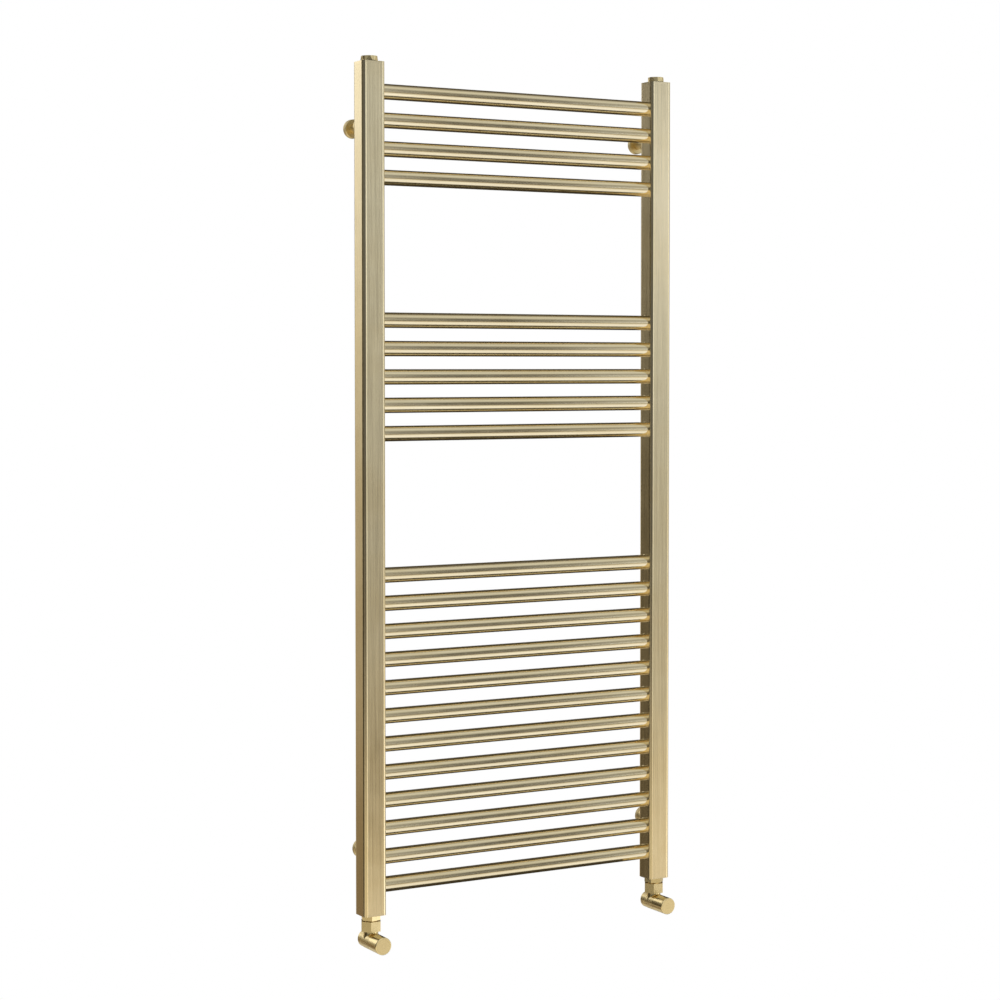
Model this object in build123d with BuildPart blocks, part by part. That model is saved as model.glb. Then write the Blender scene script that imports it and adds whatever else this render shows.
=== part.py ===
from build123d import *
import os

# Ladder towel rail: two upright manifolds, round bars between them in three groups, four telescopic
# wall brackets behind, a plug in each top end and an angled valve under each bottom end.
# Millimetres. +X runs to the right along the bars, +Y towards the wall and +Z up. The origin is on
# the wall, midway between the two upper wall screws.

# Uprights
upright_spacing = 480.0
upright_height = 1200.0
upright_width = 35.0
upright_depth = 32.0
upright_corner = 5.0
upright_wall = 1.5

# Bars
bar_radius = 11.0
bar_wall = 1.2
bar_pitch = 40.0
bar_gap_pitch = 200.0
bar_groups = (4, 5, 12)
bar_top_inset = 40.0
bar_setback = 1.5
bar_insertion = 1.5
braze_gap = 0.05

# End caps, with a threaded boss for a half-inch fitting
cap_thickness = 3.0
boss_radius = 12.5
boss_height = 12.0
port_radius = 9.5
thread_gap = 0.1

# Telescopic wall brackets
bracket_inset = 89.0
socket_radius = 13.5
socket_length = 8.5
pocket_radius = 9.0
pocket_depth = 28.5
pocket_floor = 2.0
rod_radius = 7.0
rod_length = 34.6
rod_clearance = 0.05
foot_radius = 13.5
foot_thickness = 7.0
foot_gap = 0.3
foot_travel = 24.0
foot_edge = 1.0
screw_well_radius = 4.2
screw_hole_radius = 2.6
screw_floor = 4.0
grub_radius = 2.4
grub_hole_radius = 2.5
grub_recess = 0.5
grub_clearance = 0.15
grub_key = 2.5

# Plugs in the top ends
plug_across_flats = 23.0
plug_head = 6.5
plug_shank = 10.0
plug_edge = 0.8
seal_thickness = 1.2
seal_inner_radius = 9.6
seal_outer_radius = 11.2
blank_key = 10.0
blank_key_depth = 5.0
vent_head_radius = 5.0
vent_head_height = 3.2
vent_well_radius = 5.4
vent_well_depth = 2.6
vent_shank_radius = 3.5
vent_shank_length = 10.0
vent_clearance = 0.05
vent_slot = 1.2
vent_slot_depth = 1.2
vent_outlet_radius = 0.9

# Angled valves: z is measured down from the upright's end and y from the upright's axis
valve_drop = 37.5
barrel_radius = 12.5
barrel_front = -14.0
barrel_back = 8.0
bore_radius = 6.5
tail_shank = 12.0
tail_gap = 0.6
tail_hex_across_flats = 25.0
tail_hex_bottom = 7.0
tail_neck_radius = 9.0
tail_flange_radius = 11.6
tail_flange_top = 11.0
tail_flange_bottom = 13.5
union_across_flats = 27.0
union_top = 8.4
union_bottom = 22.9
union_hole_radius = 9.2
union_lip = 2.5
union_cavity_radius = 11.9
body_thread_radius = 11.8
body_thread_top = 13.6
body_thread_bottom = 21.5
body_neck_radius = 8.4
outlet_radius = 5.0
outlet_top = 24.0
chamber_radius = 8.5
seat_front = 5.2
seat_back = 7.2
seat_radius = 5.0
pipe_radius = 7.55
inlet_thread_radius = 10.5
inlet_end = 15.5
nut_radius = 12.2
nut_front = 8.6
nut_back = 18.5
nut_lip = 1.9
nut_hole_radius = 7.8
nut_bore_radius = 10.6
olive_radius = 9.4
olive_bore_radius = 7.6
olive_front = 15.6
olive_length = 0.9
bonnet_shank_radius = 8.4
bonnet_inner_end = -8.0
bonnet_flange_radius = 10.5
bonnet_flange = 3.0
spindle_radius = 3.0
spindle_bore_radius = 3.05
spindle_front = -30.0
spindle_back = -1.0
spindle_collar_radius = 4.4
spindle_collar = 1.0
spindle_collar_gap = 0.2
spindle_flat = 4.4
spindle_flat_length = 8.0
plug_disc_radius = 6.5
plug_disc_front = -7.4
plug_disc_back = 0.6
plug_bore_radius = 3.1
plug_bore_end = -0.8
handle_radius = 12.5
handle_front = -39.3
handle_back = -14.4
handle_face = 3.0
handle_edge = 1.2
handle_cavity_radius = 10.6
hub_radius = 6.0
hub_bore_radius = 3.05
hub_bore_end = -30.4
hub_end = -18.8
edge_break = 0.6

# Derived positions
socket_end = upright_depth / 2 + socket_length
axis_to_wall = socket_end + foot_gap + foot_travel + foot_thickness
rail_y = -axis_to_wall
rail_bottom = bracket_inset - upright_height
rail_top = rail_bottom + upright_height
upper_bracket_z = rail_top - bracket_inset
lower_bracket_z = rail_bottom + bracket_inset
inner_half = upright_spacing / 2 - upright_width / 2
sides = {"left": -1, "right": 1}

os.makedirs("parts", exist_ok=True)


def bar_heights():
    """Centre height of every bar, from the top down."""
    heights = []
    z = rail_top - bar_top_inset
    for count in bar_groups:
        for _ in range(count):
            heights.append(z)
            z -= bar_pitch
        z -= bar_gap_pitch - bar_pitch
    return heights


def save(builder, name):
    """Labels a finished piece and writes its STEP file."""
    builder.part.label = name
    export_step(builder.part, f"parts/{name}.step")


def facing_wall(x, y, z):
    """A plane across the valve or bracket axis, whose normal points at the wall."""
    return Plane(origin=(x, y, z), x_dir=(1, 0, 0), z_dir=(0, 1, 0))


def make_upright(name, side):
    """Rounded square tube, holed for the bars on its inner wall and for two brackets behind."""
    x = side * upright_spacing / 2
    with BuildPart() as tube:
        with BuildSketch(Plane((x, rail_y, rail_bottom + cap_thickness))):
            RectangleRounded(upright_width, upright_depth, upright_corner)
            RectangleRounded(
                upright_width - 2 * upright_wall,
                upright_depth - 2 * upright_wall,
                upright_corner - upright_wall,
                mode=Mode.SUBTRACT,
            )
        extrude(amount=upright_height - 2 * cap_thickness)
        with BuildSketch(Plane.YZ.offset(side * inner_half)):
            with Locations(*[(rail_y + bar_setback, z) for z in bar_heights()]):
                Circle(bar_radius + braze_gap)
        extrude(amount=upright_wall + upright_corner / 2, both=True, mode=Mode.SUBTRACT)
        with BuildSketch(facing_wall(x, rail_y + upright_depth / 2, 0)):
            with Locations((0, -upper_bracket_z), (0, -lower_bracket_z)):
                Circle(pocket_radius + braze_gap)
        extrude(amount=2 * upright_wall, both=True, mode=Mode.SUBTRACT)
    save(tube, name)


def make_end_cap(name, side, end_z, inward):
    """Plate that closes an upright, with a bored boss inside. inward is the way the boss points."""
    x = side * upright_spacing / 2
    outer = Plane(origin=(x, rail_y, end_z), x_dir=(1, 0, 0), z_dir=(0, 0, inward))
    with BuildPart() as cap:
        with BuildSketch(outer):
            RectangleRounded(upright_width, upright_depth, upright_corner)
        extrude(amount=cap_thickness)
        with BuildSketch(outer.offset(cap_thickness)):
            Circle(boss_radius)
        extrude(amount=boss_height)
        with BuildSketch(outer):
            Circle(port_radius)
        extrude(amount=cap_thickness + boss_height, mode=Mode.SUBTRACT)
    save(cap, name)


def make_bar(name, z):
    """Round tube whose ends stand just inside both uprights."""
    half_length = inner_half + upright_wall + bar_insertion
    with BuildPart() as bar:
        with BuildSketch(Plane((-half_length, rail_y + bar_setback, z), x_dir=(0, 1, 0), z_dir=(1, 0, 0))):
            Circle(bar_radius)
            Circle(bar_radius - bar_wall, mode=Mode.SUBTRACT)
        extrude(amount=2 * half_length)
    save(bar, name)


def make_socket(name, side, z):
    """Round boss on the upright's back with a blind dry pocket that the foot's rod slides in."""
    back = facing_wall(side * upright_spacing / 2, rail_y + upright_depth / 2, z)
    with BuildPart() as socket:
        with BuildSketch(back):
            Circle(socket_radius)
        extrude(amount=socket_length)
        chamfer(socket.edges().group_by(Axis.Y)[-1], length=edge_break)
        with BuildSketch(back):
            Circle(pocket_radius)
        extrude(amount=-pocket_depth)
        with BuildSketch(back.offset(pocket_floor - pocket_depth)):
            Circle(rod_radius + rod_clearance)
        extrude(amount=pocket_depth - pocket_floor + socket_length, mode=Mode.SUBTRACT)
        with BuildSketch(Plane((back.origin.X, back.origin.Y + socket_length / 2, z))):
            Circle(grub_hole_radius)
        extrude(amount=-2 * socket_radius, mode=Mode.SUBTRACT)
    save(socket, name)


def make_foot(name, side, z, reach):
    """Wall disc with a hollow rod. reach is how far it stands out of its socket."""
    front = facing_wall(side * upright_spacing / 2, rail_y + socket_end + foot_gap + reach, z)
    with BuildPart() as foot:
        with BuildSketch(front):
            Circle(foot_radius)
        extrude(amount=foot_thickness)
        chamfer(foot.edges().group_by(Axis.Y)[0], length=foot_edge)
        with BuildSketch(front):
            Circle(rod_radius)
        extrude(amount=-rod_length)
        chamfer(foot.edges().group_by(Axis.Y)[0], length=edge_break)
        with BuildSketch(front.offset(-rod_length)):
            Circle(screw_well_radius)
        extrude(amount=rod_length + foot_thickness - screw_floor, mode=Mode.SUBTRACT)
        with BuildSketch(front):
            Circle(screw_hole_radius)
        extrude(amount=foot_thickness, mode=Mode.SUBTRACT)
    save(foot, name)


def make_grub_screws(name):
    """The four locking screws, one up through the underside of each socket."""
    y = rail_y + upright_depth / 2 + socket_length / 2
    spots = [(side * upright_spacing / 2, y) for side in sides.values()]
    length = socket_radius - grub_recess - rod_radius - grub_clearance
    with BuildPart() as screws:
        for bracket_z in (upper_bracket_z, lower_bracket_z):
            underside = Plane((0, 0, bracket_z - socket_radius + grub_recess))
            with BuildSketch(underside):
                with Locations(*spots):
                    Circle(grub_radius)
            extrude(amount=length)
            with BuildSketch(underside):
                with Locations(*spots):
                    RegularPolygon(grub_key / 2, 6, major_radius=False)
            extrude(amount=length / 2, mode=Mode.SUBTRACT)
    save(screws, name)


def make_seal(name, side):
    """Flat ring under a plug's head."""
    with BuildPart() as seal:
        with BuildSketch(Plane((side * upright_spacing / 2, rail_y, rail_top))):
            Circle(seal_outer_radius)
            Circle(seal_inner_radius, mode=Mode.SUBTRACT)
        extrude(amount=seal_thickness)
    save(seal, name)


def plug_blank(x, turn):
    """Hexagon-headed plug for a top port, before its own recess is cut."""
    with BuildPart() as blank:
        with BuildSketch(Plane((x, rail_y, rail_top + seal_thickness))):
            RegularPolygon(plug_across_flats / 2, 6, major_radius=False, rotation=turn)
        extrude(amount=plug_head)
        with BuildSketch(Plane((x, rail_y, rail_top + seal_thickness))):
            Circle(plug_across_flats / 2 + plug_edge)
        extrude(amount=plug_head, taper=8, mode=Mode.INTERSECT)
        with BuildSketch(Plane((x, rail_y, rail_top + seal_thickness))):
            Circle(port_radius - thread_gap)
        extrude(amount=-(plug_shank + seal_thickness))
    return blank.part


def make_blank_plug(name, side, turn):
    """Blanking plug with a hexagon socket."""
    x = side * upright_spacing / 2
    with BuildPart() as plug:
        add(plug_blank(x, turn))
        with BuildSketch(Plane((x, rail_y, rail_top + seal_thickness + plug_head))):
            RegularPolygon(blank_key / 2, 6, major_radius=False)
        extrude(amount=-blank_key_depth, mode=Mode.SUBTRACT)
    save(plug, name)


def make_vent_plug(name, side, turn):
    """Air vent plug, with a well and a bore for the vent screw and a side outlet."""
    x = side * upright_spacing / 2
    head_top = Plane((x, rail_y, rail_top + seal_thickness + plug_head))
    with BuildPart() as plug:
        add(plug_blank(x, turn))
        with BuildSketch(head_top):
            Circle(vent_well_radius)
        extrude(amount=-vent_well_depth, mode=Mode.SUBTRACT)
        with BuildSketch(head_top):
            Circle(vent_shank_radius + vent_clearance)
        extrude(amount=-(plug_head + seal_thickness + plug_shank), mode=Mode.SUBTRACT)
        with BuildSketch(facing_wall(x, rail_y, head_top.origin.Z - vent_well_depth - 2 * vent_outlet_radius)):
            Circle(vent_outlet_radius)
        extrude(amount=plug_across_flats, mode=Mode.SUBTRACT)
    save(plug, name)


def make_vent_screw(name, side):
    """Slotted screw that seals the air vent."""
    x = side * upright_spacing / 2
    under_head = Plane((x, rail_y, rail_top + seal_thickness + plug_head - vent_well_depth + vent_clearance))
    with BuildPart() as screw:
        with BuildSketch(under_head):
            Circle(vent_head_radius)
        extrude(amount=vent_head_height)
        with BuildSketch(under_head):
            Circle(vent_shank_radius)
        extrude(amount=-vent_shank_length)
        with BuildSketch(under_head.offset(vent_head_height)):
            Rectangle(2 * vent_head_radius, vent_slot)
        extrude(amount=-vent_slot_depth, mode=Mode.SUBTRACT)
    save(screw, name)


def make_valve_tail(name, x, turn):
    """Threaded tail of the valve, with its hexagon collar and the flange the union nut pulls up."""
    with BuildPart() as tail:
        with BuildSketch(Plane((x, rail_y, rail_bottom - tail_gap))):
            Circle(port_radius - thread_gap)
        extrude(amount=tail_gap + tail_shank)
        with BuildSketch(Plane((x, rail_y, rail_bottom - tail_hex_bottom))):
            RegularPolygon(tail_hex_across_flats / 2, 6, major_radius=False, rotation=turn)
        extrude(amount=tail_hex_bottom - tail_gap)
        with BuildSketch(Plane((x, rail_y, rail_bottom - tail_flange_top))):
            Circle(tail_neck_radius)
        extrude(amount=tail_flange_top - tail_hex_bottom)
        with BuildSketch(Plane((x, rail_y, rail_bottom - tail_flange_bottom))):
            Circle(tail_flange_radius)
        extrude(amount=tail_flange_bottom - tail_flange_top)
        with BuildSketch(Plane((x, rail_y, rail_bottom - tail_flange_bottom))):
            Circle(bore_radius)
        extrude(amount=tail_flange_bottom + tail_shank, mode=Mode.SUBTRACT)
    save(tail, name)


def make_union_nut(name, x, turn):
    """Hexagon nut that holds the tail's flange against the valve body."""
    with BuildPart() as nut:
        with BuildSketch(Plane((x, rail_y, rail_bottom - union_bottom))):
            RegularPolygon(union_across_flats / 2, 6, major_radius=False, rotation=turn)
        extrude(amount=union_bottom - union_top)
        with BuildSketch(Plane((x, rail_y, rail_bottom - union_bottom))):
            Circle(union_hole_radius)
        extrude(amount=union_bottom - union_top, mode=Mode.SUBTRACT)
        with BuildSketch(Plane((x, rail_y, rail_bottom - union_bottom))):
            Circle(union_cavity_radius)
        extrude(amount=union_bottom - union_top - union_lip, mode=Mode.SUBTRACT)
    save(nut, name)


def make_valve_body(name, x):
    """Angled body: inlet from the wall, outlet upwards, and a seat between them."""
    axis_z = rail_bottom - valve_drop
    with BuildPart() as body:
        with BuildSketch(facing_wall(x, rail_y + barrel_front, axis_z)):
            Circle(barrel_radius)
        extrude(amount=barrel_back - barrel_front)
        with BuildSketch(facing_wall(x, rail_y + barrel_back, axis_z)):
            Circle(inlet_thread_radius)
        extrude(amount=inlet_end - barrel_back)
        with BuildSketch(Plane((x, rail_y, axis_z))):
            Circle(body_neck_radius)
        extrude(amount=valve_drop - body_thread_bottom)
        with BuildSketch(Plane((x, rail_y, rail_bottom - body_thread_bottom))):
            Circle(body_thread_radius)
        extrude(amount=body_thread_bottom - body_thread_top)
        with BuildSketch(Plane((x, rail_y, axis_z))):
            Circle(outlet_radius)
        extrude(amount=valve_drop - body_thread_top, mode=Mode.SUBTRACT)
        with BuildSketch(Plane((x, rail_y, rail_bottom - outlet_top))):
            Circle(bore_radius)
        extrude(amount=outlet_top - body_thread_top, mode=Mode.SUBTRACT)
        with BuildSketch(facing_wall(x, rail_y + barrel_front, axis_z)):
            Circle(chamber_radius)
        extrude(amount=seat_front - barrel_front, mode=Mode.SUBTRACT)
        with BuildSketch(facing_wall(x, rail_y + seat_front, axis_z)):
            Circle(seat_radius)
        extrude(amount=seat_back - seat_front, mode=Mode.SUBTRACT)
        with BuildSketch(facing_wall(x, rail_y + seat_back, axis_z)):
            Circle(pipe_radius)
        extrude(amount=inlet_end - seat_back, mode=Mode.SUBTRACT)
    save(body, name)


def make_compression_nut(name, x):
    """Round nut that squeezes the olive onto the supply pipe."""
    axis_z = rail_bottom - valve_drop
    with BuildPart() as nut:
        with BuildSketch(facing_wall(x, rail_y + nut_front, axis_z)):
            Circle(nut_radius)
        extrude(amount=nut_back - nut_front)
        chamfer(nut.edges(), length=edge_break)
        with BuildSketch(facing_wall(x, rail_y + nut_front, axis_z)):
            Circle(nut_hole_radius)
        extrude(amount=nut_back - nut_front, mode=Mode.SUBTRACT)
        with BuildSketch(facing_wall(x, rail_y + nut_front, axis_z)):
            Circle(nut_bore_radius)
        extrude(amount=nut_back - nut_lip - nut_front, mode=Mode.SUBTRACT)
    save(nut, name)


def make_olive(name, x):
    """Soft brass ring between the pipe, the body and the compression nut."""
    with BuildPart() as olive:
        with BuildSketch(facing_wall(x, rail_y + olive_front, rail_bottom - valve_drop)):
            Circle(olive_radius)
            Circle(olive_bore_radius, mode=Mode.SUBTRACT)
        extrude(amount=olive_length)
    save(olive, name)


def make_bonnet(name, x):
    """Headwork screwed into the body's front, bored for the spindle."""
    axis_z = rail_bottom - valve_drop
    with BuildPart() as bonnet:
        with BuildSketch(facing_wall(x, rail_y + barrel_front, axis_z)):
            Circle(bonnet_shank_radius)
        extrude(amount=bonnet_inner_end - barrel_front)
        with BuildSketch(facing_wall(x, rail_y + barrel_front, axis_z)):
            Circle(bonnet_flange_radius)
        extrude(amount=-bonnet_flange)
        with BuildSketch(facing_wall(x, rail_y + bonnet_inner_end, axis_z)):
            Circle(spindle_bore_radius)
        extrude(amount=barrel_front - bonnet_flange - bonnet_inner_end, mode=Mode.SUBTRACT)
    save(bonnet, name)


def make_spindle(name, x):
    """Turning spindle, which stays where it is and drives the plug along its thread."""
    axis_z = rail_bottom - valve_drop
    collar_back = barrel_front - bonnet_flange - spindle_collar_gap
    with BuildPart() as spindle:
        with BuildSketch(facing_wall(x, rail_y + spindle_front, axis_z)):
            Circle(spindle_radius)
        extrude(amount=spindle_back - spindle_front)
        with BuildSketch(facing_wall(x, rail_y + collar_back, axis_z)):
            Circle(spindle_collar_radius)
        extrude(amount=-spindle_collar)
        with BuildSketch(facing_wall(x, rail_y + spindle_front, axis_z)):
            Circle(spindle_radius)
            Rectangle(2 * spindle_radius, spindle_flat, mode=Mode.SUBTRACT)
        extrude(amount=spindle_flat_length, mode=Mode.SUBTRACT)
    save(spindle, name)


def make_valve_plug(name, x):
    """Plug that travels along the spindle's thread and closes the seat."""
    axis_z = rail_bottom - valve_drop
    with BuildPart() as plug:
        with BuildSketch(facing_wall(x, rail_y + plug_disc_front, axis_z)):
            Circle(plug_disc_radius)
        extrude(amount=plug_disc_back - plug_disc_front)
        with BuildSketch(facing_wall(x, rail_y + plug_disc_front, axis_z)):
            Circle(plug_bore_radius)
        extrude(amount=plug_bore_end - plug_disc_front, mode=Mode.SUBTRACT)
    save(plug, name)


def make_handle(name, x, has_hub):
    """Cylindrical cap over the headwork, with a hub on the spindle where it is the handwheel."""
    axis_z = rail_bottom - valve_drop
    front = facing_wall(x, rail_y + handle_front, axis_z)
    with BuildPart() as handle:
        with BuildSketch(front):
            Circle(handle_radius)
        extrude(amount=handle_back - handle_front)
        fillet(handle.edges().group_by(Axis.Y)[0], radius=handle_edge)
        with BuildSketch(front.offset(handle_face)):
            Circle(handle_cavity_radius)
        extrude(amount=handle_back - handle_front - handle_face, mode=Mode.SUBTRACT)
        if has_hub:
            with BuildSketch(front.offset(handle_face)):
                Circle(hub_radius)
            extrude(amount=hub_end - handle_front - handle_face)
            with BuildSketch(facing_wall(x, rail_y + hub_bore_end, axis_z)):
                Circle(hub_bore_radius)
            extrude(amount=hub_end - hub_bore_end, mode=Mode.SUBTRACT)
    save(handle, name)


for number, bar_z in enumerate(bar_heights(), start=1):
    make_bar(f"bar_{number:02d}", bar_z)

for side_name, side in sides.items():
    valve_x = side * upright_spacing / 2
    make_upright(f"{side_name}_upright", side)
    make_end_cap(f"{side_name}_top_cap", side, rail_top, -1)
    make_end_cap(f"{side_name}_bottom_cap", side, rail_bottom, 1)
    make_socket(f"{side_name}_upper_socket", side, upper_bracket_z)
    make_socket(f"{side_name}_lower_socket", side, lower_bracket_z)
    make_foot(f"{side_name}_upper_foot", side, upper_bracket_z, foot_travel)
    make_foot(f"{side_name}_lower_foot", side, lower_bracket_z, 0)
    make_seal(f"{side_name}_plug_seal", side)
    make_valve_body(f"{side_name}_valve_body", valve_x)
    make_compression_nut(f"{side_name}_compression_nut", valve_x)
    make_olive(f"{side_name}_olive", valve_x)
    make_bonnet(f"{side_name}_bonnet", valve_x)
    make_spindle(f"{side_name}_spindle", valve_x)
    make_valve_plug(f"{side_name}_valve_plug", valve_x)

make_grub_screws("grub_screws")
make_vent_plug("air_vent_plug", sides["left"], turn=34)
make_vent_screw("air_vent_screw", sides["left"])
make_blank_plug("blanking_plug", sides["right"], turn=0)
make_valve_tail("left_valve_tail", -upright_spacing / 2, turn=10)
make_valve_tail("right_valve_tail", upright_spacing / 2, turn=40)
make_union_nut("left_union_nut", -upright_spacing / 2, turn=4)
make_union_nut("right_union_nut", upright_spacing / 2, turn=57)
make_handle("control_handle", -upright_spacing / 2, has_hub=True)
make_handle("lockshield_cap", upright_spacing / 2, has_hub=False)
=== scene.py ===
"""Looks, light and camera of the brushed brass towel warmer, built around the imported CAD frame."""

import math

import bmesh
import bpy
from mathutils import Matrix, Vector


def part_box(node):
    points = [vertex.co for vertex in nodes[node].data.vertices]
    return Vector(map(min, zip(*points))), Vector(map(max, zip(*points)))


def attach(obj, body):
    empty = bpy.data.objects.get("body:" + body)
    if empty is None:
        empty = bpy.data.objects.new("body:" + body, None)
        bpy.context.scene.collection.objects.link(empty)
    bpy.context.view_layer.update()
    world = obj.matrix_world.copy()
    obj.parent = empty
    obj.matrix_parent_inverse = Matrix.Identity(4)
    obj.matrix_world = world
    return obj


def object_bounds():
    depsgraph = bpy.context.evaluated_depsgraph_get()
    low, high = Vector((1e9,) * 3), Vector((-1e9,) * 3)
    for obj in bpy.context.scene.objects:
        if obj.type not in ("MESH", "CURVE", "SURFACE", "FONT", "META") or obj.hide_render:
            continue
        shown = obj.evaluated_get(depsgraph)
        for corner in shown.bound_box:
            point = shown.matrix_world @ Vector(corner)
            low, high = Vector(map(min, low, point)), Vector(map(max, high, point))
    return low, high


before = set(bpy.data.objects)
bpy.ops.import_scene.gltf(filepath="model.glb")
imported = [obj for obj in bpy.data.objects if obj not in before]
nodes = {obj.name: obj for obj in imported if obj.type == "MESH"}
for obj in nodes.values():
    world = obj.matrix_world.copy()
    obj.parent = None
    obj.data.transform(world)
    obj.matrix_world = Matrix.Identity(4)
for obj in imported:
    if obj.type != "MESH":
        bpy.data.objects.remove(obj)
cad_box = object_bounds()

SIDES = ("left", "right")
BRASS = (0.90, 0.78, 0.525)
DEEP_BRASS = (0.83, 0.68, 0.40)
PALE_BRASS = (0.94, 0.84, 0.61)
GOLD_BRASS = (0.90, 0.75, 0.42)


# ---------------------------------------------------------------- node tree helpers


def add(tree, kind, inputs=None, **settings):
    """Adds one shader node, with its settings, and its inputs as values or as sockets to link."""
    made = tree.nodes.new(kind)
    for key, value in settings.items():
        setattr(made, key, value)
    for key, value in (inputs or {}).items():
        if isinstance(value, bpy.types.NodeSocket):
            tree.links.new(value, made.inputs[key])
        else:
            made.inputs[key].default_value = value
    return made


def calc(tree, operation, first, second=0.0):
    """One Math node's result."""
    return add(tree, "ShaderNodeMath", {0: first, 1: second}, operation=operation).outputs[0]


def product(tree, first, *others):
    """Several values multiplied together."""
    made = first
    for other in others:
        made = calc(tree, "MULTIPLY", made, other)
    return made


def fade(tree, value, start, end, low=0.0, high=1.0):
    """Goes smoothly from low to high as value goes from start to end."""
    limits = {"Value": value, "From Min": start, "From Max": end, "To Min": low, "To Max": high}
    return add(tree, "ShaderNodeMapRange", limits, interpolation_type="SMOOTHSTEP").outputs[0]


def window(tree, value, start, end, soft):
    """1 between start and end, 0 outside, with soft edges."""
    rise = fade(tree, value, start - soft, start + soft)
    fall = fade(tree, value, end - soft, end + soft, 1.0, 0.0)
    return product(tree, rise, fall)


def mix(tree, factor, first, second, blend_type="MIX"):
    """Two colours mixed by factor."""
    made = add(tree, "ShaderNodeMix", {0: factor}, data_type="RGBA", blend_type=blend_type)
    for index, value in ((6, first), (7, second)):
        if isinstance(value, bpy.types.NodeSocket):
            tree.links.new(value, made.inputs[index])
        else:
            made.inputs[index].default_value = (*value, 1.0)
    return made.outputs[2]


def ramp(tree, value, stops):
    """A colour ramp through (position, colour) stops."""
    made = add(tree, "ShaderNodeValToRGB", {0: value})
    points = made.color_ramp.elements
    while len(points) < len(stops):
        points.new(0.5)
    for point, (position, colour) in zip(points, stops):
        point.position = position
        point.color = (*colour, 1.0)
    return made.outputs[0]


def grey(level):
    """A neutral colour."""
    return (level, level, level)


# ---------------------------------------------------------------- studio

# How far the side-to-side ramp is scaled up, and the linear light of each panel in the mirrored room.
SIDE_GAIN = 2.0
DARK_CURTAIN = (0.095, 0.09, 0.078)
AMBER_SCREEN = (0.24, 0.20, 0.13)
PALE_LAMP = (1.22, 1.25, 1.36)
LOW_GLOW = (0.80, 0.70, 0.50)
BACK_GLOW = (0.58, 0.50, 0.36)
BACK_WALL = (0.60, 0.56, 0.47)
HIGH_LAMP = (1.05, 1.00, 0.92)


def turn_stop(degrees):
    """Where an angle about the bars' axis lies on a ramp: -180 at 0, 0 (straight in front) at 0.5."""
    return degrees / 360 + 0.5


def room_by_turn(tree, y, z):
    """The room by angle about the bars' axis: bright below the front, dim walls, dark behind."""
    turn = calc(tree, "ARCTAN2", z, calc(tree, "MULTIPLY", y, -1.0))
    turn = calc(tree, "ADD", calc(tree, "DIVIDE", turn, 2 * math.pi), 0.5)
    return ramp(
        tree,
        turn,
        (
            (turn_stop(-180), (0.055, 0.045, 0.028)),
            (turn_stop(-100), (0.050, 0.042, 0.026)),
            (turn_stop(-66), (0.060, 0.052, 0.033)),
            (turn_stop(-60), (0.90, 0.90, 0.88)),
            (turn_stop(-54), (1.02, 1.03, 1.06)),
            (turn_stop(-36), (1.02, 1.04, 1.10)),
            (turn_stop(-22), (0.84, 0.83, 0.82)),
            (turn_stop(-14), (0.75, 0.66, 0.50)),
            (turn_stop(-11), (0.52, 0.49, 0.43)),
            (turn_stop(-3), (0.50, 0.50, 0.48)),
            (turn_stop(5), (0.62, 0.64, 0.64)),
            (turn_stop(38), (0.42, 0.42, 0.41)),
            (turn_stop(52), (0.72, 0.74, 0.72)),
            (turn_stop(74), (0.64, 0.64, 0.60)),
            (turn_stop(90), (0.36, 0.34, 0.30)),
            (turn_stop(110), (0.09, 0.08, 0.06)),
            (turn_stop(180), (0.09, 0.078, 0.055)),
        ),
    )


def side_to_side(tree, x):
    """How strongly the front of the room shines from far left (0 on the ramp) to far right (1)."""
    strength = ramp(
        tree,
        calc(tree, "ADD", calc(tree, "MULTIPLY", x, 0.5), 0.5),
        (
            (0.00, grey(0.10)),
            (0.44, grey(0.12)),
            (0.50, grey(0.45)),
            (0.54, grey(1.00)),
            (0.64, grey(0.95)),
            (0.70, grey(0.56)),
            (0.765, grey(0.47)),
            (0.79, grey(0.56)),
            (0.84, grey(1.00)),
            (0.92, grey(1.00)),
            (0.96, grey(0.35)),
            (1.00, grey(0.30)),
        ),
    )
    return mix(tree, 1.0, strength, grey(SIDE_GAIN), "MULTIPLY")


def front_panels(tree, room, front, x, z):
    """A dark curtain, an amber screen low down, a pale lamp, and a golden glow low on the left."""
    across = window(tree, x, start=0.455, end=0.528, soft=0.012)
    curtain = product(tree, across, front, window(tree, z, start=-0.15, end=0.46, soft=0.07))
    room = mix(tree, curtain, room, DARK_CURTAIN)
    across = window(tree, x, start=0.33, end=0.50, soft=0.02)
    amber = product(tree, across, front, window(tree, z, start=-0.222, end=-0.142, soft=0.02))
    room = mix(tree, amber, room, AMBER_SCREEN)
    across = window(tree, x, start=0.535, end=0.60, soft=0.02)
    lamp = product(tree, across, front, window(tree, z, start=0.04, end=0.105, soft=0.025))
    room = mix(tree, lamp, room, PALE_LAMP)
    across = fade(tree, x, start=-0.05, end=0.25, low=1.0, high=0.0)
    glow = product(tree, across, front, fade(tree, z, start=-0.245, end=-0.12, low=1.0, high=0.0))
    return mix(tree, glow, room, LOW_GLOW)


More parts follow.
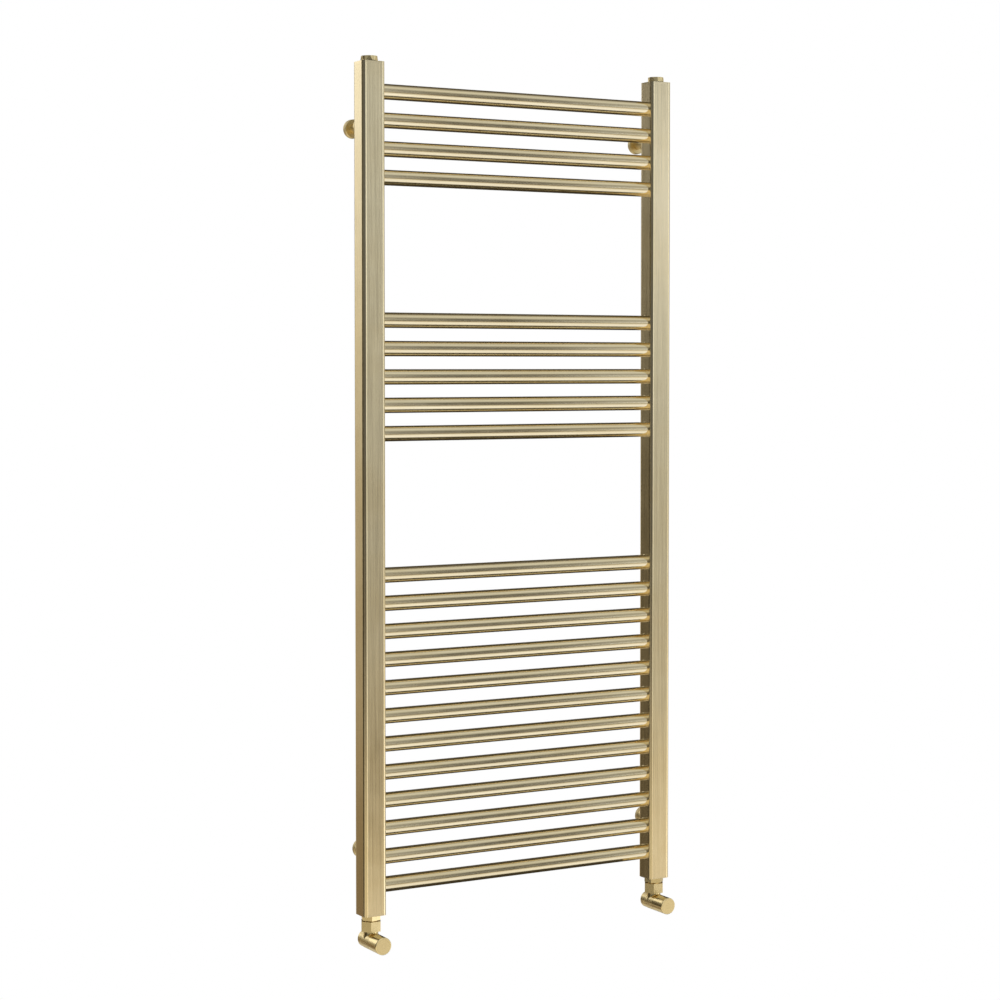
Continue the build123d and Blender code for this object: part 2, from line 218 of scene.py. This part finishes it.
def back_panels(tree, room, behind, x, z):
    """Behind: golden light low in the middle, a floor, a right wall, a tall graded screen, a lamp."""
    across = window(tree, x, start=-0.22, end=0.38, soft=0.04)
    glow = product(tree, across, behind, fade(tree, z, start=-0.10, end=0.00, low=1.0, high=0.0))
    room = mix(tree, glow, room, BACK_GLOW)
    across = fade(tree, x, start=0.34, end=0.42, low=1.0, high=0.0)
    floor = product(tree, across, behind, fade(tree, z, start=-0.285, end=-0.235, low=1.0, high=0.0))
    room = mix(tree, floor, room, BACK_WALL)
    wall = product(tree, fade(tree, x, start=0.60, end=0.70), behind)
    room = mix(tree, wall, room, BACK_WALL)
    screen = ramp(
        tree,
        calc(tree, "ADD", z, 0.5),
        (
            (0.24, (0.20, 0.14, 0.08)),
            (0.30, (0.30, 0.23, 0.14)),
            (0.36, (0.48, 0.40, 0.28)),
            (0.44, (0.58, 0.51, 0.38)),
            (0.52, (0.88, 0.82, 0.69)),
            (0.58, (1.10, 1.05, 0.95)),
            (0.63, (1.38, 1.34, 1.24)),
            (1.00, (1.38, 1.34, 1.24)),
        ),
    )
    across = window(tree, x, start=-0.497, end=-0.25, soft=0.018)
    tall = product(tree, across, behind, fade(tree, z, start=0.40, end=0.60, low=1.0, high=0.0))
    room = mix(tree, tall, room, screen)
    across = window(tree, x, start=-0.30, end=0.20, soft=0.06)
    lamp = product(tree, across, behind, window(tree, z, start=0.32, end=0.58, soft=0.05))
    return mix(tree, lamp, room, HIGH_LAMP)


def studio_world():
    """A white studio for the camera. The metal mirrors a soft room, drawn by direction only."""
    world = bpy.data.worlds.new("studio")
    bpy.context.scene.world = world
    world.use_nodes = True
    tree = world.node_tree
    tree.nodes.clear()
    direction = add(tree, "ShaderNodeTexCoord").outputs["Generated"]
    x, y, z = add(tree, "ShaderNodeSeparateXYZ", {0: direction}).outputs

    room = room_by_turn(tree, y, z)
    strength = side_to_side(tree, x)
    steep = fade(tree, calc(tree, "ABSOLUTE", z), start=0.25, end=0.55)
    front = fade(tree, y, start=-0.10, end=0.10, low=1.0, high=0.0)
    behind = calc(tree, "SUBTRACT", 1.0, front)
    horizon = product(tree, front, calc(tree, "SUBTRACT", 1.0, steep))
    room = mix(tree, horizon, room, mix(tree, 1.0, room, strength, "MULTIPLY"))
    room = front_panels(tree, room, front, x, z)
    room = back_panels(tree, room, behind, x, z)

    seen = add(tree, "ShaderNodeLightPath").outputs["Is Camera Ray"]
    sky = add(tree, "ShaderNodeBackground", {"Color": room})
    white = add(tree, "ShaderNodeBackground", {"Color": (*grey(1.0), 1.0)})
    shown = add(tree, "ShaderNodeMixShader", {0: seen, 1: sky.outputs[0], 2: white.outputs[0]})
    add(tree, "ShaderNodeOutputWorld", {"Surface": shown.outputs[0]})


def studio_floor():
    """A plain pale floor a little below the valves, lit evenly, so it shows as white."""
    size = 6.0
    drop = 0.18
    mesh = bpy.data.meshes.new("studio_floor")
    shape = bmesh.new()
    bmesh.ops.create_grid(shape, x_segments=2, y_segments=2, size=size / 2)
    shape.to_mesh(mesh)
    shape.free()
    floor = bpy.data.objects.new("studio_floor", mesh)
    bpy.context.scene.collection.objects.link(floor)
    floor.location = (0.0, 0.0, cad_box[0][2] - drop)
    floor.visible_glossy = False
    material = bpy.data.materials.new("studio_floor")
    material.use_nodes = True
    tree = material.node_tree
    tree.nodes.clear()
    glow = add(tree, "ShaderNodeEmission", {"Color": (*grey(1.0), 1.0)})
    add(tree, "ShaderNodeOutputMaterial", {"Surface": glow.outputs[0]})
    mesh.materials.append(material)


def studio_camera():
    """The camera stands in front and to the left, a little above the middle of the rail's height."""
    data = bpy.data.cameras.new("camera")
    tilt_down = math.radians(2.113)
    turn_right = math.radians(29.844)
    data.lens = 82.2
    data.sensor_width = 36.0
    data.shift_y = -0.05
    camera = bpy.data.objects.new("camera", data)
    camera.location = (-1.6769, -2.9273, -0.3352)
    camera.rotation_euler = (math.pi / 2 - tilt_down, 0.0, -turn_right)
    bpy.context.scene.collection.objects.link(camera)
    bpy.context.scene.camera = camera
    bpy.context.scene.view_settings.view_transform = "Standard"


# ---------------------------------------------------------------- materials

# How much the patina tints, and how much scratches and smudges change roughness and height.
PATINA_SHARE = 0.35
SCRATCH_ROUGHNESS = 0.10
SMUDGE_ROUGHNESS = 0.06
COARSE_DEPTH = 0.6
BRASS_BUMP = 0.15

# Base roughness of each finish, and how far the brushed ones stretch a reflection.
UPRIGHT_ROUGHNESS = 0.17
UPRIGHT_STRETCH = 0.45
BAR_ROUGHNESS = 0.13
BAR_STRETCH = 0.25
TURNED_ROUGHNESS = 0.18
SATIN_ROUGHNESS = 0.27
FOOT_ROUGHNESS = 0.42


def surface(name, **values):
    """A new material, its node tree and its Principled shader."""
    material = bpy.data.materials.new(name)
    material.use_nodes = True
    tree = material.node_tree
    shader = tree.nodes["Principled BSDF"]
    for key, value in values.items():
        shader.inputs[key.replace("_", " ")].default_value = value
    return material, tree, shader


def noise(tree, vector, scale, detail=2.0, roughness=0.5):
    """One noise texture's value."""
    inputs = {"Vector": vector, "Scale": scale, "Detail": detail, "Roughness": roughness}
    return add(tree, "ShaderNodeTexNoise", inputs).outputs["Fac"]


def stretched(tree, vector, scale):
    """The coordinates scaled apart on each axis."""
    return add(tree, "ShaderNodeMapping", {"Vector": vector, "Scale": scale}).outputs[0]


def finish_brass(tree, shader, coarse, fine, position, roughness, depth, base=BRASS):
    """Colour, roughness and bump of worn brushed brass, from a coarse and a fine set of scratches."""
    patina = noise(tree, position, scale=9.0, detail=4.0, roughness=0.6)
    tint = ramp(tree, patina, ((0.35, DEEP_BRASS), (0.52, base), (0.75, PALE_BRASS)))
    tint = mix(tree, PATINA_SHARE, base, tint)
    streak = ramp(tree, coarse, ((0.30, grey(0.90)), (0.50, grey(0.985)), (0.70, grey(1.05))))
    tint = mix(tree, 1.0, tint, streak, "MULTIPLY")
    scratch = ramp(tree, fine, ((0.32, grey(0.96)), (0.55, grey(1.0)), (0.72, grey(1.03))))
    tint = mix(tree, 1.0, tint, scratch, "MULTIPLY")
    tree.links.new(tint, shader.inputs["Base Color"])
    smudge = noise(tree, position, scale=28.0, detail=3.0, roughness=0.55)
    from_scratches = product(tree, calc(tree, "SUBTRACT", coarse, 0.5), SCRATCH_ROUGHNESS)
    from_smudges = product(tree, calc(tree, "SUBTRACT", smudge, 0.5), SMUDGE_ROUGHNESS)
    rough = calc(tree, "ADD", calc(tree, "ADD", from_scratches, from_smudges), roughness)
    tree.links.new(rough, shader.inputs["Roughness"])
    height = calc(tree, "ADD", product(tree, coarse, COARSE_DEPTH), fine)
    bump = add(tree, "ShaderNodeBump", {"Strength": BRASS_BUMP, "Distance": depth, "Height": height})
    tree.links.new(bump.outputs[0], shader.inputs["Normal"])


def brushed_brass(name, axis, roughness, anisotropy):
    """Brass with straight brush lines along one axis ("X" or "Z")."""
    material, tree, shader = surface(name, Metallic=1.0, Anisotropic=anisotropy)
    position = add(tree, "ShaderNodeTexCoord").outputs["Object"]
    long_grain = [1.0, 1.0, 1.0]
    long_grain["XYZ".index(axis)] = 0.012
    grain = stretched(tree, position, long_grain)
    coarse = noise(tree, grain, scale=520.0, detail=3.0, roughness=0.6)
    fine = noise(tree, grain, scale=2600.0, detail=2.0, roughness=0.5)
    finish_brass(tree, shader, coarse, fine, position, roughness, depth=0.00006)
    across = add(tree, "ShaderNodeTangent", direction_type="RADIAL", axis=axis)
    tree.links.new(across.outputs[0], shader.inputs["Tangent"])
    return material


def turned_brass(name, centre, axis, roughness, base=BRASS):
    """Brass cut on a lathe, with fine rings about an axis through centre ("Y" or "Z")."""
    material, tree, shader = surface(name, Metallic=1.0)
    position = add(tree, "ShaderNodeTexCoord").outputs["Object"]
    local = add(tree, "ShaderNodeVectorMath", {0: position, 1: centre}, operation="SUBTRACT").outputs[0]
    x, y, z = add(tree, "ShaderNodeSeparateXYZ", {0: local}).outputs
    along, other = (y, z) if axis == "Y" else (z, y)
    square = calc(tree, "ADD", product(tree, x, x), product(tree, other, other))
    radius = calc(tree, "SQRT", square)
    rings = add(tree, "ShaderNodeCombineXYZ", {"X": radius, "Y": along}).outputs[0]
    coarse = noise(tree, rings, scale=900.0, detail=3.0, roughness=0.6)
    fine = noise(tree, rings, scale=3800.0, detail=2.0, roughness=0.5)
    finish_brass(tree, shader, coarse, fine, position, roughness, depth=0.00004, base=base)
    return material


def bright_brass(name):
    """Satin brass with faint random wipe marks, for the hexagons and plugs."""
    material, tree, shader = surface(name, Metallic=1.0)
    position = add(tree, "ShaderNodeTexCoord").outputs["Object"]
    upward = stretched(tree, position, (1.0, 1.0, 0.25))
    level = stretched(tree, position, (0.3, 0.3, 1.0))
    coarse = noise(tree, upward, scale=420.0, detail=4.0, roughness=0.6)
    fine = noise(tree, level, scale=3000.0, detail=2.0, roughness=0.5)
    finish_brass(tree, shader, coarse, fine, position, SATIN_ROUGHNESS, depth=0.00003, base=GOLD_BRASS)
    return material


def black_rubber():
    """Matt seal rubber, slightly grained."""
    material, tree, shader = surface("rubber", Roughness=0.75)
    position = add(tree, "ShaderNodeTexCoord").outputs["Object"]
    grain = noise(tree, position, scale=2400.0, detail=3.0, roughness=0.6)
    black = ramp(tree, grain, ((0.3, grey(0.014)), (0.7, grey(0.032))))
    tree.links.new(black, shader.inputs["Base Color"])
    bump = add(tree, "ShaderNodeBump", {"Strength": 0.3, "Distance": 0.00005, "Height": grain})
    tree.links.new(bump.outputs[0], shader.inputs["Normal"])
    return material


def plain_steel():
    """Zinc plated steel of the grub screws."""
    material, tree, shader = surface("steel", Metallic=1.0)
    position = add(tree, "ShaderNodeTexCoord").outputs["Object"]
    grain = noise(tree, position, scale=1800.0, detail=3.0, roughness=0.6)
    zinc = ramp(tree, grain, ((0.3, (0.50, 0.51, 0.52)), (0.7, (0.66, 0.66, 0.65))))
    tree.links.new(zinc, shader.inputs["Base Color"])
    rough = calc(tree, "ADD", product(tree, grain, 0.2), 0.25)
    tree.links.new(rough, shader.inputs["Roughness"])
    return material


def paint(name, material):
    """Gives one CAD node its material."""
    mesh = nodes[name].data
    mesh.materials.clear()
    mesh.materials.append(material)


def middle(name):
    """The middle of a CAD node's box."""
    low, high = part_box(name)
    return (low + high) / 2


TURNED_ABOUT_Y = (
    "upper_socket",
    "lower_socket",
    "valve_body",
    "compression_nut",
    "bonnet",
    "spindle",
    "valve_plug",
    "olive",
)


def paint_turned(name, axis, roughness, base=BRASS):
    """Gives one CAD node turned brass of its own, with rings about the middle of its box."""
    paint(name, turned_brass(name, middle(name), axis, roughness, base))


def paint_everything():
    """A finish for every CAD node. Returns the bars' finish, which the braze fillets share."""
    lengthwise = brushed_brass("brushed_brass_upright", "Z", UPRIGHT_ROUGHNESS, UPRIGHT_STRETCH)
    crosswise = brushed_brass("brushed_brass_bar", "X", BAR_ROUGHNESS, BAR_STRETCH)
    satin = bright_brass("bright_brass")
    rubber = black_rubber()
    paint("grub_screws", plain_steel())
    for name in nodes:
        if name.startswith("bar_"):
            paint(name, crosswise)
    for side in SIDES:
        paint(f"{side}_upright", lengthwise)
        paint(f"{side}_plug_seal", rubber)
        for part in ("top_cap", "bottom_cap"):
            paint_turned(f"{side}_{part}", "Z", TURNED_ROUGHNESS)
        for part in ("valve_tail", "union_nut"):
            paint(f"{side}_{part}", satin)
        for part in ("upper_foot", "lower_foot"):
            paint_turned(f"{side}_{part}", "Y", FOOT_ROUGHNESS, GOLD_BRASS)
        for part in TURNED_ABOUT_Y:
            paint_turned(f"{side}_{part}", "Y", SATIN_ROUGHNESS, GOLD_BRASS)
    for name in ("air_vent_plug", "air_vent_screw", "blanking_plug"):
        paint(name, satin)
    for name in ("control_handle", "lockshield_cap"):
        paint_turned(name, "Y", TURNED_ROUGHNESS, GOLD_BRASS)
    return crosswise


# ---------------------------------------------------------------- added pieces


def skin(shape, rings):
    """Faces between each closed ring of vertices and the next."""
    for first, second in zip(rings, rings[1:]):
        for index in range(len(first)):
            after = (index + 1) % len(first)
            shape.faces.new((first[index], first[after], second[after], second[index]))


def fillet_ring(shape, centre, outward, radius, reach, steps=5, around=48):
    """A concave ring of braze where a bar meets an upright. Outward is 1 or -1, away from the face."""
    rings = []
    for step in range(steps + 1):
        angle = math.pi / 2 * step / steps
        ring_radius = radius + reach * (1 - math.sin(angle))
        offset = outward * reach * (1 - math.cos(angle))
        ring = []
        for index in range(around):
            turn = 2 * math.pi * index / around
            across = Vector((offset, ring_radius * math.cos(turn), ring_radius * math.sin(turn)))
            ring.append(shape.verts.new(centre + across))
        rings.append(ring)
    skin(shape, rings)


def finish_piece(name, shape, material, body):
    """Makes a new piece from its shape, smooth shaded, riding its body and carrying the given name."""
    bmesh.ops.recalc_face_normals(shape, faces=shape.faces)
    mesh = bpy.data.meshes.new(name)
    shape.to_mesh(mesh)
    shape.free()
    for face in mesh.polygons:
        face.use_smooth = True
    mesh.materials.append(material)
    piece = bpy.data.objects.new(name, mesh)
    bpy.context.scene.collection.objects.link(piece)
    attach(piece, body)


def braze_fillets(material):
    """One piece on each upright: the small fillets round all the bar ends."""
    reach = 0.0005
    for side, outward in zip(SIDES, (1.0, -1.0)):
        low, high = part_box(f"{side}_upright")
        face = high.x if side == "left" else low.x
        shape = bmesh.new()
        for name in sorted(nodes):
            if name.startswith("bar_"):
                bar_low, bar_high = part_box(name)
                centre = (bar_low + bar_high) / 2
                centre.x = face
                fillet_ring(shape, centre, outward, (bar_high.z - bar_low.z) / 2, reach)
        finish_piece(f"{side}_braze_fillets", shape, material, "rail")


def revolved(shape, centre, profile, around=64):
    """A surface turned about the upright axis through centre; profile holds (radius, height) pairs."""
    rings = []
    for radius, height in profile:
        ring = []
        for index in range(around):
            turn = 2 * math.pi * index / around
            point = (centre.x + radius * math.cos(turn), centre.y + radius * math.sin(turn), height)
            ring.append(shape.verts.new(point))
        rings.append(ring)
    skin(shape, rings)


def valve_necks(material):
    """The flared neck that carries each union nut on its valve body."""
    throat = 0.0102
    collar = throat * 0.8
    flare = 0.0020
    flare_power = 2.2
    lip = 0.0003
    above_axis = 0.004
    steps = 10
    for side in SIDES:
        nut_low, nut_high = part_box(f"{side}_union_nut")
        axis_height = middle(f"{side}_compression_nut").z
        top = nut_low.z
        depth = top - axis_height - above_axis
        profile = [(collar, top), (throat, top - lip)]
        for step in range(1, steps + 1):
            share = step / steps
            profile.append((throat + flare * share**flare_power, top - lip - depth * share))
        shape = bmesh.new()
        revolved(shape, (nut_low + nut_high) / 2, profile)
        finish_piece(f"{side}_valve_neck", shape, material, "rail")


# ---------------------------------------------------------------- the scene

studio_camera()
studio_world()
studio_floor()
bar_finish = paint_everything()
braze_fillets(bar_finish)
valve_necks(turned_brass("valve_neck", Vector((0.0, 0.0, 0.0)), "Z", TURNED_ROUGHNESS, GOLD_BRASS))
